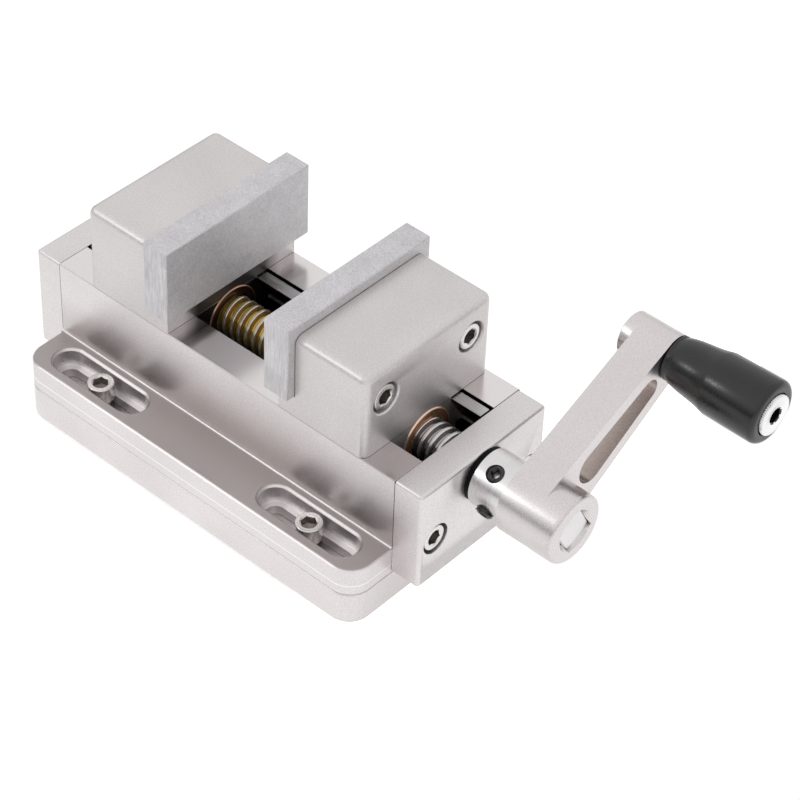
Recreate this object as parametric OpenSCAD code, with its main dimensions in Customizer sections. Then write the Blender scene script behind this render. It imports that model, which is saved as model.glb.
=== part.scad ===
// Self-centering vise. X runs along the lead screw towards the crank, Z is up,
// and the origin is the centre of the base plate's bottom face. Millimetres.

/* [Base plate] */
// Length of the base plate and of the vise body along the screw
base_l = 193.4; // [170:0.2:240]
// Thickness of the base plate
base_t = 16.4; // [10:0.2:24]
// Radius of the upright corners of the base plate and of the flange
corner_r = 10.4; // [6:0.1:18]
// Chamfer along the open edges of the base plate and of the flange
plate_chamfer = 0.8; // [0.4:0.1:1.2]
// Distance between the mounting holes along the screw
mount_span_x = 120; // [80:1:136]
// Distance between the mounting holes across the screw
mount_span_y = 44; // [30:1:56]

/* [Vise body] */
// Width of the body, the jaws and the end caps
body_w = 76.2; // [72:0.1:84]
// Height from the top of the base plate to the top of the rails
body_h = 51; // [47:0.2:70]
// Thickness of the slotted flange
flange_t = 13.8; // [12.4:0.2:18]
// Fillet between the flange and the sides of the body
flange_fillet = 1.5; // [0.5:0.1:3]
// Chamfer along the top edges of the rails
rail_chamfer = 0.4; // [0.2:0.1:0.8]
// Flange beyond the outer end of a clamp slot
slot_end_gap = 9.4; // [5:0.1:30]
// Flat of the flange between the side of the body and a clamp slot
slot_side_gap = 4.2; // [2.6:0.1:12]
// Wall of the flange outside a clamp slot
slot_wall = 5.3; // [3:0.1:12]
// Length of the counterbore of a clamp slot
slot_l = 52; // [36:0.5:58]
// Width of the counterbore of a clamp slot
slot_w = 14.4; // [13.4:0.1:18]
// Width of the narrow through slot for the clamp screw
slot_neck = 8.8; // [8.2:0.1:10]
// Chamfer along the rim of the clamp slots
slot_chamfer = 1.1; // [0.3:0.1:1.4]

/* [Ways] */
// Half the width of the channel at the top of the rails
way_half = 22; // [20:0.1:24]
// Height of the upright land at the top of the ways
way_land = 2; // [1:0.1:3]
// Angle of the dovetail faces from the horizontal
way_angle = 60; // [58:1:70]
// Depth of the dovetail floor below the top of the rails
way_depth = 16.2; // [14:0.1:17]
// Half the width of the groove under the dovetail
groove_half = 18.7; // [16:0.1:19.5]
// Depth of the groove's floor below the top of the rails
groove_depth = 34; // [31:0.2:38]
// Thickness of the gib strip across the screw
gib_t = 5.7; // [4.5:0.1:6.5]
// Gap between the gib strip and the wall of the channel
gib_gap = 1.3; // [1:0.1:2]
// Drop of the gib strip's top below the top of the rails
gib_drop = 0.8; // [0.4:0.1:1.5]
// Number of screws that set the gib strip
gib_screw_count = 4; // [3:1:6]
// Distance between neighbouring gib screws
gib_pitch = 46; // [34:0.5:50]

/* [End caps] */
// Thickness of the end caps
cap_t = 14.3; // [12:0.1:18]
// Rounding of the outer edges of the end caps
cap_round = 1.6; // [1:0.1:3]
// Distance of the cap screws from the sides of the body
cap_screw_inset = 9.9; // [8:0.1:11]
// Height of the cap screws above the base plate
cap_screw_up = 22; // [20:0.1:26]

/* [Jaws] */
// Opening between the jaw plates
jaw_opening = 54.8; // [2:0.2:84]
// Place of the middle of the opening along the screw
grip_centre_x = 1; // [-2:0.5:2]
// Width of a jaw plate
plate_w = 84.5; // [76:0.5:96]
// Height of a jaw plate
plate_h = 36.6; // [32:0.2:46]
// Thickness of a jaw plate
plate_t = 13.4; // [11:0.1:18]
// Chamfer along the edges of a jaw plate
plate_edge = 0.5; // [0.2:0.1:1]
// Length of a jaw behind its plate
jaw_l = 38; // [34:0.5:42]
// Height of a jaw above the rails
jaw_h = 42; // [36:0.2:56]
// Rounding of the top and back edges of a jaw
jaw_round = 4; // [1:0.5:6]
// Height of the foot that carries the jaw plate
foot_h = 10.4; // [8:0.2:14]
// Setback of the foot behind the face of the jaw plate
foot_setback = 4.4; // [2:0.2:6]
// Distance of the jaw screws from the sides of the jaws
jaw_screw_inset = 12.6; // [9:0.1:18]
// Height of the jaw screws above the rails
jaw_screw_up = 25.5; // [20:0.1:30]

/* [Lead screw] */
// Outer diameter of the lead screw
screw_d = 19.05; // [18:0.05:20]
// Depth of the screw's axis below the top of the rails
screw_drop = 12; // [11:0.1:13]
// Outer diameter of the nuts
nut_d = 27.8; // [25:0.1:28]
// Length by which a nut stands out of its jaw at both ends
nut_proud = 0.7; // [0.3:0.1:1.5]
// Diameter of the journal in the far end cap
far_journal_d = 15.9; // [12:0.1:17]
// Diameter of the thrust flange inside the crank-side cap
thrust_d = 21; // [20.2:0.1:22]
// Thickness of the thrust flange
thrust_t = 4; // [3:0.1:6]
// Outer diameter of the crank-side bushing
bushing_d = 22.2; // [21:0.1:23]
// Outer diameter of the far bushing
far_bushing_d = 20.6; // [19:0.1:24]
// Diameter of the bushing's outer flange
washer_d = 24.6; // [23.4:0.1:25.4]
// Thickness of the bushing's outer flange
washer_t = 2.1; // [1:0.1:3]
// Diameter of the spigot that joins the halves of the screw
spigot_d = 10; // [8:0.1:12]
// Length of the spigot
spigot_l = 14; // [10:0.5:20]
// Diameter of the cross pin through the spigot
pin_d = 3; // [2:0.1:4]

/* [Shaft collar] */
// Outer diameter of the shaft collar
collar_d = 26; // [25:0.1:30]
// Length of the shaft collar
collar_l = 17; // [12:0.1:20]
// Length of a collar set screw
set_screw_l = 6.35; // [5:0.05:8]
// Length by which the second collar set screw stands out of the collar
set_screw_proud = 1.7; // [0:0.1:3]
// Angle of the first collar set screw about the screw's axis
set_screw_angle = 120; // [90:1:180]

/* [Crank] */
// Outer diameter of the crank's hub
hub_d = 31.4; // [28:0.1:36]
// Length of the hub
hub_l = 28.4; // [24:0.1:34]
// Rounding of the hub's outer end
hub_round = 2.1; // [1:0.1:3]
// Distance from the hub's axis to the handle's axis
crank_r = 82; // [70:0.5:110]
// Angle of the crank above the horizontal
crank_angle = 28.1; // [-180:0.1:180]
// Thickness of the crank's arm
arm_t = 17; // [12:0.1:20]
// Width of the rims along the pocket in the arm
arm_rim = 6; // [3:0.1:7]
// Distance of the pocket from the hub and from the handle boss
pocket_gap = 2.3; // [1:0.1:6]
// Depth of the pocket in each face of the arm
pocket_depth = 6; // [3:0.1:7]
// Diameter of the boss that carries the handle
boss_d = 20; // [18:0.1:24]
// Length by which the boss stands out behind the arm
boss_back = 5.4; // [2:0.1:8]
// Width of the square on the end of the lead screw
square_w = 14.8; // [13.5:0.1:16]
// Chamfer around the square hole in the hub's outer end
hub_mouth = 2.3; // [1:0.1:3]
// Depth of the screw's end face inside the hub
square_recess = 1.2; // [0.5:0.1:3]

/* [Handle] */
// Length of the handle grip
grip_l = 48.6; // [38:0.2:70]
// Diameter of the grip at the crank
grip_d1 = 20.2; // [18:0.1:26]
// Diameter of the grip where its taper ends
grip_d2 = 27.8; // [24:0.1:32]
// Diameter of the grip at its outer end
grip_d3 = 28.4; // [24:0.1:34]
// Length of the tapered part of the grip
grip_taper_l = 22.4; // [12:0.2:30]
// Rounding of the grip's outer end
grip_round = 2.8; // [1:0.1:4]
// Diameter of the spindle's flat head
spindle_head_d = 18.2; // [16:0.1:21]
// Thickness of the spindle's flat head
spindle_head_t = 4.4; // [3:0.1:7]
// Length by which the spindle's head stands out of the grip
spindle_proud = 1.4; // [0.2:0.1:2]
// Diameter of the spindle inside the grip
spindle_d = 9.5; // [8:0.1:12]

/* [Fasteners] */
// Diameter of the cap screws' shanks
bolt_d = 7.94; // [7:0.01:8]
// Diameter of the cap screws' heads
bolt_head_d = 11.9; // [11:0.1:13]
// Height of the cap screws' heads
bolt_head_h = 7.9; // [6:0.1:8.4]
// Width across the flats of the cap screws' hexagon sockets
bolt_hex = 6.35; // [5:0.05:7]
// Diameter of the counterbores for the cap screws
bolt_bore_d = 14.4; // [13.2:0.1:15]
// Chamfer at the mouth of the jaw screws' counterbores
bore_chamfer = 0.6; // [0.3:0.1:1]
// Diameter of the gib screws
gib_screw_d = 6.35; // [5:0.05:7]
// Width across the flats of the set screws' hexagon sockets
set_hex = 4; // [3:0.1:4.5]

/* [Hidden] */
$fn = 72;

// Overrun of every cut past the face that it opens
over = 1;
// Clearance of screws and sleeves in holes of their own body
fit_gap = 0.03;
// Radial running clearance of shafts in their bushings and nuts
run_gap = 0.06;
// Clearance between flat faces that slide or turn on each other
slide_gap = 0.1;
// Clearance around parts that turn or slide inside a pocket
free_gap = 0.5;
// Inset of straight sides, so that they cross the circles at their ends cleanly
tuck = 0.02;
// Chamfer on small turned ends
small_chamfer = 0.6;

// Levels and ends that several pieces share
rail_z = base_t + body_h;
flange_z = base_t + flange_t;
screw_z = rail_z - screw_drop;
end_x = base_l / 2;
cap_face_x = end_x + cap_t;
screw_r = screw_d / 2;

// Outline of the ways, as distances across and heights
land_z = rail_z - way_land;
way_floor_z = rail_z - way_depth;
groove_z = rail_z - groove_depth;
way_flare = (land_z - way_floor_z) / tan(way_angle);
gib_inner = way_half - gib_gap - gib_t;
gib_screw_z = (land_z + way_floor_z) / 2;
gib_screw_flare = (land_z - gib_screw_z) / tan(way_angle);
gib_point_d = gib_screw_d * 2 / 3;
gib_point_l = gib_point_d / 3;

// Clamp slots, the flange that carries them, and the clamp screws
base_w = body_w + 2 * (slot_side_gap + slot_w + slot_wall);
slot_x = (base_l - slot_l) / 2 - slot_end_gap;
slot_y = (body_w + slot_w) / 2 + slot_side_gap;
slot_floor_z = flange_z - bolt_head_h - slot_chamfer;
clamp_depth = slot_floor_z - base_t / 3;

// A jaw, as distances from the middle of the opening
plate_x = jaw_opening / 2;
foot_x = plate_x + foot_setback;
jaw_front_x = plate_x + plate_t;
jaw_back_x = jaw_front_x + jaw_l;
jaw_top_z = rail_z + jaw_h;
plate_z = rail_z + foot_h;
jaw_screw_z = rail_z + jaw_screw_up;
jaw_screw_x = jaw_back_x - bolt_head_h - small_chamfer;
jaw_screw_y = body_w / 2 - jaw_screw_inset;
jaw_thread_l = plate_t * 3 / 4;
keel_z = groove_z + 2 * free_gap;
nut_r = nut_d / 2;
nut_x = (foot_x + jaw_back_x) / 2;
nut_screw_d = gib_screw_d;
nut_point_l = gib_point_l;

// Places along the screw at its crank end, and of the cap screws
cap_screw_y = body_w / 2 - cap_screw_inset;
thrust_pocket_x = end_x + thrust_t + 2 * slide_gap;
collar_x = cap_face_x + washer_t + slide_gap;
hub_x = collar_x + collar_l + slide_gap;
hub_end_x = hub_x + hub_l;
arm_face_x = hub_x + arm_t;
grip_x = arm_face_x + 3 * slide_gap;
grip_end_x = grip_x + grip_l;
spindle_face_x = grip_end_x + spindle_proud;
spindle_seat_x = spindle_face_x - spindle_head_t;
spindle_thread_l = arm_t + boss_back - small_chamfer;
far_thread_x = end_x - free_gap;
far_journal_x = cap_face_x - free_gap;
pin_x = grip_centre_x + spigot_l / 2;

// Extrudes an outline, drawn across and up, along the screw
module along_x(x0, x1) {
    translate([x0, 0, 0]) rotate([90, 0, 90]) linear_extrude(x1 - x0) children();
}

// Lays what is drawn along Z onto the screw's axis
module on_screw_axis(x = 0) {
    translate([x, 0, screw_z]) rotate([0, 90, 0]) children();
}

// Places the crank's parts, drawn with the hub at the origin and the arm along +Y
module on_crank() {
    translate([0, 0, screw_z]) rotate([crank_angle, 0, 0]) children();
}

// Places what is drawn for the crank side on that side or on the far one
module on_side(side) {
    translate([grip_centre_x, 0, 0])
        if (side > 0) children();
        else mirror([1, 0, 0]) children();
}

// Copies a shape to both sides across the screw
module both_sides(y) {
    for (side = [-1, 1]) translate([0, side * y, 0]) children();
}

// Plain turned length along Z with a chamfer at its far end
module turned(r, length, chamfer) {
    cylinder(r = r, h = length - chamfer);
    translate([0, 0, length - chamfer]) cylinder(r1 = r, r2 = r - chamfer, h = chamfer);
}

// Half of the section of a slab, with its top edge rounded or chamfered
module half_section(half, h, edge, rounded) {
    if (rounded) {
        square([half, h - edge]);
        if (half > edge) square([half - edge, h]);
        translate([half - edge, h - edge]) intersection() {
            circle(edge);
            square(edge);
        }
    }
    else polygon([[0, 0], [half, 0], [half, h - edge], [half - edge, h], [0, h]]);
}

// Straight length of a slab along Y
module slab_length(length, half, h, edge, rounded) {
    rotate([90, 0, 0]) linear_extrude(length, center = true) {
        half_section(half, h, edge, rounded);
        mirror([1, 0]) half_section(half, h, edge, rounded);
    }
}

// Slab on the plane Z = 0 with upright corners of one radius and an edge all round its top
module slab(l, w, h, corner, edge, rounded = false) {
    slab_length(w - 2 * corner, l / 2, h, edge, rounded);
    rotate([0, 0, 90]) slab_length(l - 2 * corner, w / 2, h, edge, rounded);
    for (x = [-1, 1], y = [-1, 1])
        translate([x * (l / 2 - corner), y * (w / 2 - corner), 0])
            rotate_extrude() half_section(corner, h, edge, rounded);
}

// Round-ended slot along X through the plane Z = 0, opening upwards
module slot(l, w, h) {
    for (x = [-1, 1]) translate([x * (l - w) / 2, 0, 0]) cylinder(d = w, h = h);
    translate([-(l - w) / 2, -w / 2, 0]) cube([l - w, w, h]);
}

// Chamfer that widens the mouth of a round-ended slot
module slot_mouth(l, w, c) {
    r = w / 2;
    for (x = [-1, 1]) translate([x * (l / 2 - r), 0, -c])
        cylinder(r1 = r, r2 = r + c + over, h = c + over);
    along_x(r - l / 2, l / 2 - r)
        polygon([[-r, -c], [r, -c], [r + c + over, over], [-r - c - over, over]]);
}

// Hexagon socket that opens at the plane Z = 0 and runs down
module hex_socket(flats, depth) {
    translate([0, 0, -depth]) cylinder(d = flats / cos(30), h = depth + over, $fn = 6);
}

// Socket head cap screw: the underside of its head lies on the plane Z = 0
module cap_screw(length) {
    difference() {
        union() {
            turned(bolt_head_d / 2, bolt_head_h, small_chamfer);
            mirror([0, 0, 1]) turned(bolt_d / 2, length, small_chamfer);
        }
        translate([0, 0, bolt_head_h]) hex_socket(bolt_hex, bolt_head_h / 2);
    }
}

// Hole for a cap screw: a tapped or clear length below the plane Z = 0, a counterbore above
module cap_screw_hole(length, bore_h) {
    translate([0, 0, -length]) cylinder(r = bolt_d / 2 + fit_gap, h = length + over);
    cylinder(d = bolt_bore_d, h = bore_h + over);
}

// Set screw with a dog point: its socket end lies on the plane Z = 0, the point below
module set_screw(d, length, point_d, point_l) {
    difference() {
        union() {
            translate([0, 0, point_l - length]) turned(d / 2, length - point_l, small_chamfer / 2);
            translate([0, 0, -length]) cylinder(d = point_d, h = point_l + small_chamfer);
        }
        hex_socket(min(set_hex, d * 2 / 3), (length - point_l) / 2);
    }
}

// Outline of the channel: upright lands, dovetail faces and the groove for the screw
module channel_outline() {
    flared = way_half + way_flare;
    polygon([
        [-way_half, rail_z + over], [-way_half, land_z], [-flared, way_floor_z],
        [-groove_half, way_floor_z], [-groove_half, groove_z], [groove_half, groove_z],
        [groove_half, way_floor_z], [flared, way_floor_z], [way_half, land_z],
        [way_half, rail_z + over]
    ]);
}

// Outline of the gib strip, a parallelogram with an upright land at its top
module gib_outline() {
    outer = gib_inner + gib_t;
    polygon([
        [gib_inner, rail_z - gib_drop], [gib_inner, land_z], [gib_inner + way_flare, way_floor_z],
        [outer + way_flare, way_floor_z], [outer, land_z], [outer, rail_z - gib_drop]
    ]);
}

// Outline of a jaw's keel, which runs between the way on one side and the gib on the other
module keel_outline() {
    left = way_half - slide_gap;
    right = gib_inner - slide_gap;
    floor_z = way_floor_z + slide_gap;
    flare = (land_z - floor_z) / tan(way_angle);
    lower = groove_half - slide_gap;
    polygon([
        [-left, rail_z + over], [-left, land_z], [-left - flare, floor_z], [-lower, floor_z],
        [-lower, keel_z], [lower, keel_z], [lower, floor_z], [right + flare, floor_z],
        [right, land_z], [right, rail_z + over]
    ]);
}

// Outer outline of the body above the base plate, with a chamfer along each rail
module body_outline() {
    half = body_w / 2;
    polygon([
        [-half, base_t], [-half, rail_z - rail_chamfer], [-half + rail_chamfer, rail_z],
        [half - rail_chamfer, rail_z], [half, rail_z - rail_chamfer], [half, base_t]
    ]);
}

// Fillet between the flange and a side of the body
module fillet_outline() {
    translate([body_w / 2, flange_z]) difference() {
        square(flange_fillet);
        translate([flange_fillet, flange_fillet]) circle(flange_fillet);
    }
}

// Places of the clamp slots and of their screws
module at_clamps() {
    for (x = [-1, 1], y = [-1, 1]) translate([x * slot_x, y * slot_y, 0]) children();
}

// Places of the screws that set the gib, pointing across the screw at the gib
module at_gib_screws() {
    first = -(gib_screw_count - 1) * gib_pitch / 2;
    for (i = [0 : gib_screw_count - 1])
        translate([first + i * gib_pitch, body_w / 2 - small_chamfer, gib_screw_z])
            rotate([-90, 0, 0]) children();
}

// Reach of a gib screw, from its socket end to the end of its point in the gib
gib_reach = body_w / 2 - small_chamfer - (gib_inner + gib_t + gib_screw_flare) + gib_point_l;

// Places of the two screws of an end cap, their heads facing outwards from the given side
module at_cap_screws(side) {
    seat = cap_face_x - bolt_head_h - small_chamfer;
    for (y = [-1, 1])
        translate([side * seat, y * cap_screw_y, base_t + cap_screw_up])
            rotate([0, side * 90, 0]) children();
}

// Plate that the whole vise stands on and slides along
module base_plate() {
    color("#c9c4c2") difference() {
        intersection() {
            slab(base_l, base_w, base_t, corner_r, plate_chamfer);
            translate([0, 0, base_t]) mirror([0, 0, 1])
                slab(base_l, base_w, base_t, corner_r, plate_chamfer);
        }
        at_clamps() translate([0, 0, -over])
            cylinder(r = bolt_d / 2 + fit_gap, h = base_t + 2 * over);
        for (x = [-1, 1], y = [-1, 1])
            translate([x * mount_span_x / 2, y * mount_span_y / 2, base_t - bolt_head_h - small_chamfer]) {
                translate([0, 0, -base_t]) cylinder(d = slot_neck, h = 2 * base_t);
                cylinder(d = bolt_bore_d, h = base_t);
            }
    }
}

// Body of the vise: the slotted flange, the two rails and the channel between them
module vise_body() {
    color("#cfcac7") difference() {
        union() {
            translate([0, 0, base_t]) slab(base_l, base_w, flange_t, corner_r, plate_chamfer);
            along_x(-end_x, end_x) {
                body_outline();
                fillet_outline();
                mirror([1, 0]) fillet_outline();
            }
        }
        along_x(-end_x - over, end_x + over) channel_outline();
        at_clamps() {
            translate([0, 0, slot_floor_z]) slot(slot_l, slot_w, flange_t);
            translate([0, 0, base_t - over]) slot(slot_l - slot_w + slot_neck, slot_neck, flange_t);
            translate([0, 0, flange_z]) slot_mouth(slot_l, slot_w, slot_chamfer);
        }
        for (side = [-1, 1]) at_cap_screws(side) cap_screw_hole(cap_t + bolt_d, 0);
        at_gib_screws() translate([0, 0, -body_w / 4])
            cylinder(r = gib_screw_d / 2 + fit_gap, h = body_w / 2);
    }
}

// Blank of an end cap, with its outer edges rounded
module cap_blank(side) {
    h = body_h - slide_gap * 3;
    translate([side * end_x, 0, rail_z - h / 2]) rotate([0, side * 90, 0])
        slab(h, body_w, cap_t, cap_round, cap_round, true);
}

// Cap on the crank side: it holds the screw's thrust flange and its bushing
module crank_end_cap() {
    color("#cdc8c5") difference() {
        cap_blank(1);
        at_cap_screws(1) cap_screw_hole(cap_t, cap_t);
        on_screw_axis(end_x - over) cylinder(r = thrust_d / 2 + free_gap, h = thrust_pocket_x - end_x + over);
        on_screw_axis(end_x) cylinder(r = bushing_d / 2 + fit_gap, h = cap_t + over);
    }
}

// Cap on the far side: it holds the far bushing
module far_end_cap() {
    color("#cdc8c5") difference() {
        cap_blank(-1);
        at_cap_screws(-1) cap_screw_hole(cap_t, cap_t);
        on_screw_axis(-cap_face_x - over)
            cylinder(r = far_bushing_d / 2 + fit_gap, h = cap_t + 2 * over);
    }
}

// Screws of the crank-side cap
module crank_cap_screws() {
    color("#a9a6a4") at_cap_screws(1) cap_screw(cap_t + bolt_d / 2 - bolt_head_h);
}

// Screws of the far cap
module far_cap_screws() {
    color("#a9a6a4") at_cap_screws(-1) cap_screw(cap_t + bolt_d / 2 - bolt_head_h);
}

// Screws that clamp the body to the base plate through its slots
module clamp_screws() {
    color("#b1adaa") at_clamps() translate([0, 0, slot_floor_z + slide_gap]) cap_screw(clamp_depth);
}

// Strip that takes up the play of the jaws along one way
module gib_strip() {
    color("#b9babf") difference() {
        along_x(-end_x + gib_gap, end_x - gib_gap) gib_outline();
        at_gib_screws() translate([0, 0, -gib_reach - slide_gap])
            cylinder(r = gib_point_d / 2 + fit_gap, h = body_w);
    }
}

// Screws in the far rail that press on the gib
module gib_screws() {
    color("#3a3a3c") at_gib_screws()
        set_screw(gib_screw_d, gib_reach, gib_point_d, gib_point_l + gib_gap + small_chamfer);
}

// Flanged bushing in the crank-side cap
module crank_bushing() {
    color("#232323") difference() {
        union() {
            on_screw_axis(thrust_pocket_x)
                cylinder(d = bushing_d, h = cap_face_x - thrust_pocket_x);
            on_screw_axis(cap_face_x) cylinder(d = washer_d, h = washer_t);
        }
        on_screw_axis(end_x) cylinder(r = screw_r + run_gap, h = 2 * cap_t);
    }
}

// Plain bushing in the far cap
module far_bushing() {
    color("#a8743f") difference() {
        on_screw_axis(-cap_face_x) cylinder(d = far_bushing_d, h = cap_t);
        on_screw_axis(-cap_face_x - over)
            cylinder(r = far_journal_d / 2 + run_gap, h = cap_t + 2 * over);
    }
}

// Hole for the cross pin through both halves of the screw
module pin_hole() {
    translate([pin_x, 0, screw_z]) cylinder(r = pin_d / 2 + fit_gap, h = 2 * screw_d, center = true);
}

// Left-hand half of the lead screw, with its thrust flange, journal and square end
module near_lead_screw() {
    end_face_x = hub_end_x - square_recess;
    color("#b4b2b2") difference() {
        union() {
            on_screw_axis(grip_centre_x) turned(screw_r, end_face_x - grip_centre_x, small_chamfer);
            on_screw_axis(end_x + slide_gap) cylinder(d = thrust_d, h = thrust_t);
        }
        on_screw_axis(grip_centre_x - over)
            cylinder(r = spigot_d / 2 + fit_gap, h = spigot_l + over + slide_gap);
        for (turn = [0 : 90 : 270]) translate([0, 0, screw_z]) rotate([crank_angle + turn, 0, 0])
            translate([hub_x, -screw_d, square_w / 2]) cube([hub_l, 2 * screw_d, screw_d]);
        set_screw_holes();
        pin_hole();
    }
}

// Right-hand half of the lead screw, with its spigot and its far journal
module far_lead_screw() {
    color("#b48a3c") difference() {
        union() {
            on_screw_axis(-far_thread_x) cylinder(r = screw_r, h = far_thread_x + grip_centre_x);
            on_screw_axis(-far_journal_x) cylinder(d = far_journal_d, h = cap_t);
            on_screw_axis(grip_centre_x) cylinder(d = spigot_d, h = spigot_l);
        }
        pin_hole();
    }
}

// Cross pin that joins the halves of the screw
module coupling_pin() {
    color("#8d8d90") translate([pin_x, 0, screw_z])
        cylinder(d = pin_d, h = screw_d - 2 * small_chamfer, center = true);
}

// Places of the outer ends of the collar's set screws: the first flush, the second standing out
module at_set_screws() {
    for (i = [0, 1])
        translate([collar_x + collar_l / 2, 0, screw_z])
            rotate([set_screw_angle + i * 90 - 90, 0, 0])
                translate([0, 0, collar_d / 2 + i * set_screw_proud]) children();
}

// Tapped holes of the collar's set screws, which end as seats in the lead screw
module set_screw_holes() {
    at_set_screws() translate([0, 0, -set_screw_l - slide_gap])
        cylinder(r = bolt_d / 2 + fit_gap, h = 2 * set_screw_l);
}

// Collar that holds the screw against the bushing
module shaft_collar() {
    color("#dddbd9") difference() {
        on_screw_axis(collar_x + collar_l) mirror([0, 0, 1])
            turned(collar_d / 2, collar_l, small_chamfer);
        on_screw_axis(collar_x - over) cylinder(r = screw_r + fit_gap, h = collar_l + 2 * over);
        set_screw_holes();
    }
}

// Set screws of the collar
module collar_set_screws() {
    color("#2b2b2d") at_set_screws() difference() {
        translate([0, 0, -set_screw_l]) turned(bolt_d / 2, set_screw_l, small_chamfer);
        hex_socket(set_hex, set_screw_l * 2 / 3);
    }
}

// Outline of two circles and a tapered bar between them, the second circle at a distance along Y
module tapered_outline(r1, r2, distance) {
    lean = asin((r1 - r2) / distance);
    side1 = r1 - tuck;
    side2 = r2 - tuck;
    circle(r1);
    translate([distance, 0]) circle(r2);
    polygon([
        [side1 * sin(lean), -side1 * cos(lean)], [distance + side2 * sin(lean), -side2 * cos(lean)],
        [distance + side2 * sin(lean), side2 * cos(lean)], [side1 * sin(lean), side1 * cos(lean)]
    ]);
}

// Pocket in each face of the arm, with its sides parallel to the arm's own
module arm_pocket() {
    lean = asin((hub_d - boss_d) / 2 / crank_r);
    start = hub_d / 2 + pocket_gap;
    end = crank_r - boss_d / 2 - pocket_gap;
    r1 = (hub_d / 2 - arm_rim - start * sin(lean)) / (1 + sin(lean));
    r2 = (hub_d / 2 - arm_rim - end * sin(lean)) / (1 - sin(lean));
    for (x = [hub_x - over, arm_face_x - pocket_depth])
        along_x(x, x + pocket_depth + over)
            translate([start + r1, 0]) tapered_outline(r1, r2, end - start - r1 - r2);
}

// Hub of the crank, turned about the screw's axis, with its outer end rounded
module crank_hub() {
    rotate([0, 90, 0]) rotate_extrude() {
        translate([0, hub_x]) half_section(hub_d / 2, hub_l, hub_round, true);
    }
}

// Crank with its hub, pocketed arm and handle boss
module crank_arm() {
    color("#cbc6c3") on_crank() difference() {
        union() {
            crank_hub();
            difference() {
                along_x(hub_x, arm_face_x) tapered_outline(hub_d / 2, boss_d / 2, crank_r);
                arm_pocket();
            }
            translate([hub_x, crank_r, 0]) rotate([0, -90, 0])
                turned(boss_d / 2, boss_back, small_chamfer);
        }
        along_x(hub_x - over, hub_end_x + over) square(square_w + 4 * fit_gap, center = true);
        translate([hub_end_x - hub_mouth, 0, 0]) rotate([0, 90, 0])
            cylinder(r1 = square_w / 2, r2 = square_w / 2 + hub_mouth + over, h = hub_mouth + over);
        translate([hub_x - boss_back - over, crank_r, 0]) rotate([0, 90, 0])
            cylinder(r = bolt_d / 2 + fit_gap, h = boss_back + arm_t + 2 * over);
    }
}

// Spindle that carries the grip: a thread in the boss, a plain shank and a flat head
module handle_spindle() {
    color("#e4e3e2") on_crank() translate([0, crank_r, 0]) difference() {
        union() {
            translate([spindle_seat_x, 0, 0]) rotate([0, 90, 0])
                turned(spindle_head_d / 2, spindle_head_t, small_chamfer / 2);
            translate([arm_face_x, 0, 0]) rotate([0, 90, 0])
                cylinder(d = spindle_d, h = spindle_seat_x - arm_face_x);
            translate([arm_face_x, 0, 0]) rotate([0, -90, 0])
                turned(bolt_d / 2, spindle_thread_l, small_chamfer);
        }
        translate([spindle_face_x, 0, 0]) rotate([0, 90, 0])
            hex_socket(bolt_hex, spindle_head_t * 2 / 3);
    }
}

// Grip that turns on the spindle
module handle_grip() {
    end_r = grip_d3 / 2;
    color("#1d1d1f") on_crank() translate([grip_x, crank_r, 0]) rotate([0, 90, 0]) difference() {
        rotate_extrude() {
            polygon([
                [0, 0], [grip_d1 / 2 - small_chamfer, 0], [grip_d1 / 2, small_chamfer],
                [grip_d2 / 2, grip_taper_l], [end_r, grip_l - grip_round],
                [end_r - grip_round, grip_l], [0, grip_l]
            ]);
            translate([end_r - grip_round, grip_l - grip_round]) circle(grip_round);
        }
        translate([0, 0, -over]) cylinder(r = spindle_d / 2 + run_gap, h = grip_l + 2 * over);
        translate([0, 0, spindle_seat_x - grip_x - slide_gap])
            cylinder(r = spindle_head_d / 2 + free_gap, h = grip_l);
    }
}

// Block of a jaw above the rails, its top and back edges rounded
module jaw_block() {
    length = jaw_l + jaw_round;
    intersection() {
        translate([jaw_back_x - length / 2, 0, rail_z + slide_gap])
            slab(length, body_w, jaw_h - slide_gap, jaw_round, jaw_round, true);
        translate([jaw_front_x, -body_w, rail_z]) cube([2 * jaw_l, 2 * body_w, 2 * jaw_h]);
    }
    translate([foot_x, -body_w / 2, rail_z + slide_gap])
        cube([jaw_back_x - foot_x - jaw_round, body_w, foot_h - slide_gap]);
}

// Places of the two screws that hold a jaw plate, their heads in the back of the jaw
module at_jaw_screws() {
    for (y = [-1, 1])
        translate([jaw_screw_x, y * jaw_screw_y, jaw_screw_z]) rotate([0, 90, 0]) children();
}

// Place of the screw that locks a nut in its keel, its point upwards
module at_nut_screw() {
    translate([nut_x, 0, keel_z + small_chamfer]) rotate([180, 0, 0]) children();
}

// Reach of the nut's lock screw into the nut
nut_reach = screw_z - nut_r - keel_z - small_chamfer + nut_point_l;

// Jaw with its keel: modelled for the crank side
module jaw() {
    difference() {
        union() {
            jaw_block();
            along_x(foot_x, jaw_back_x) keel_outline();
        }
        on_screw_axis(foot_x - over) cylinder(r = nut_r + fit_gap, h = jaw_back_x - foot_x + 2 * over);
        at_jaw_screws() {
            cap_screw_hole(jaw_l, bolt_head_h);
            translate([0, 0, bolt_head_h + small_chamfer - bore_chamfer])
                cylinder(r1 = bolt_bore_d / 2, r2 = bolt_bore_d / 2 + bore_chamfer + over,
                    h = bore_chamfer + over);
        }
        at_nut_screw() translate([0, 0, -nut_d / 2])
            cylinder(r = nut_screw_d / 2 + fit_gap, h = nut_d);
    }
}

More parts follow.
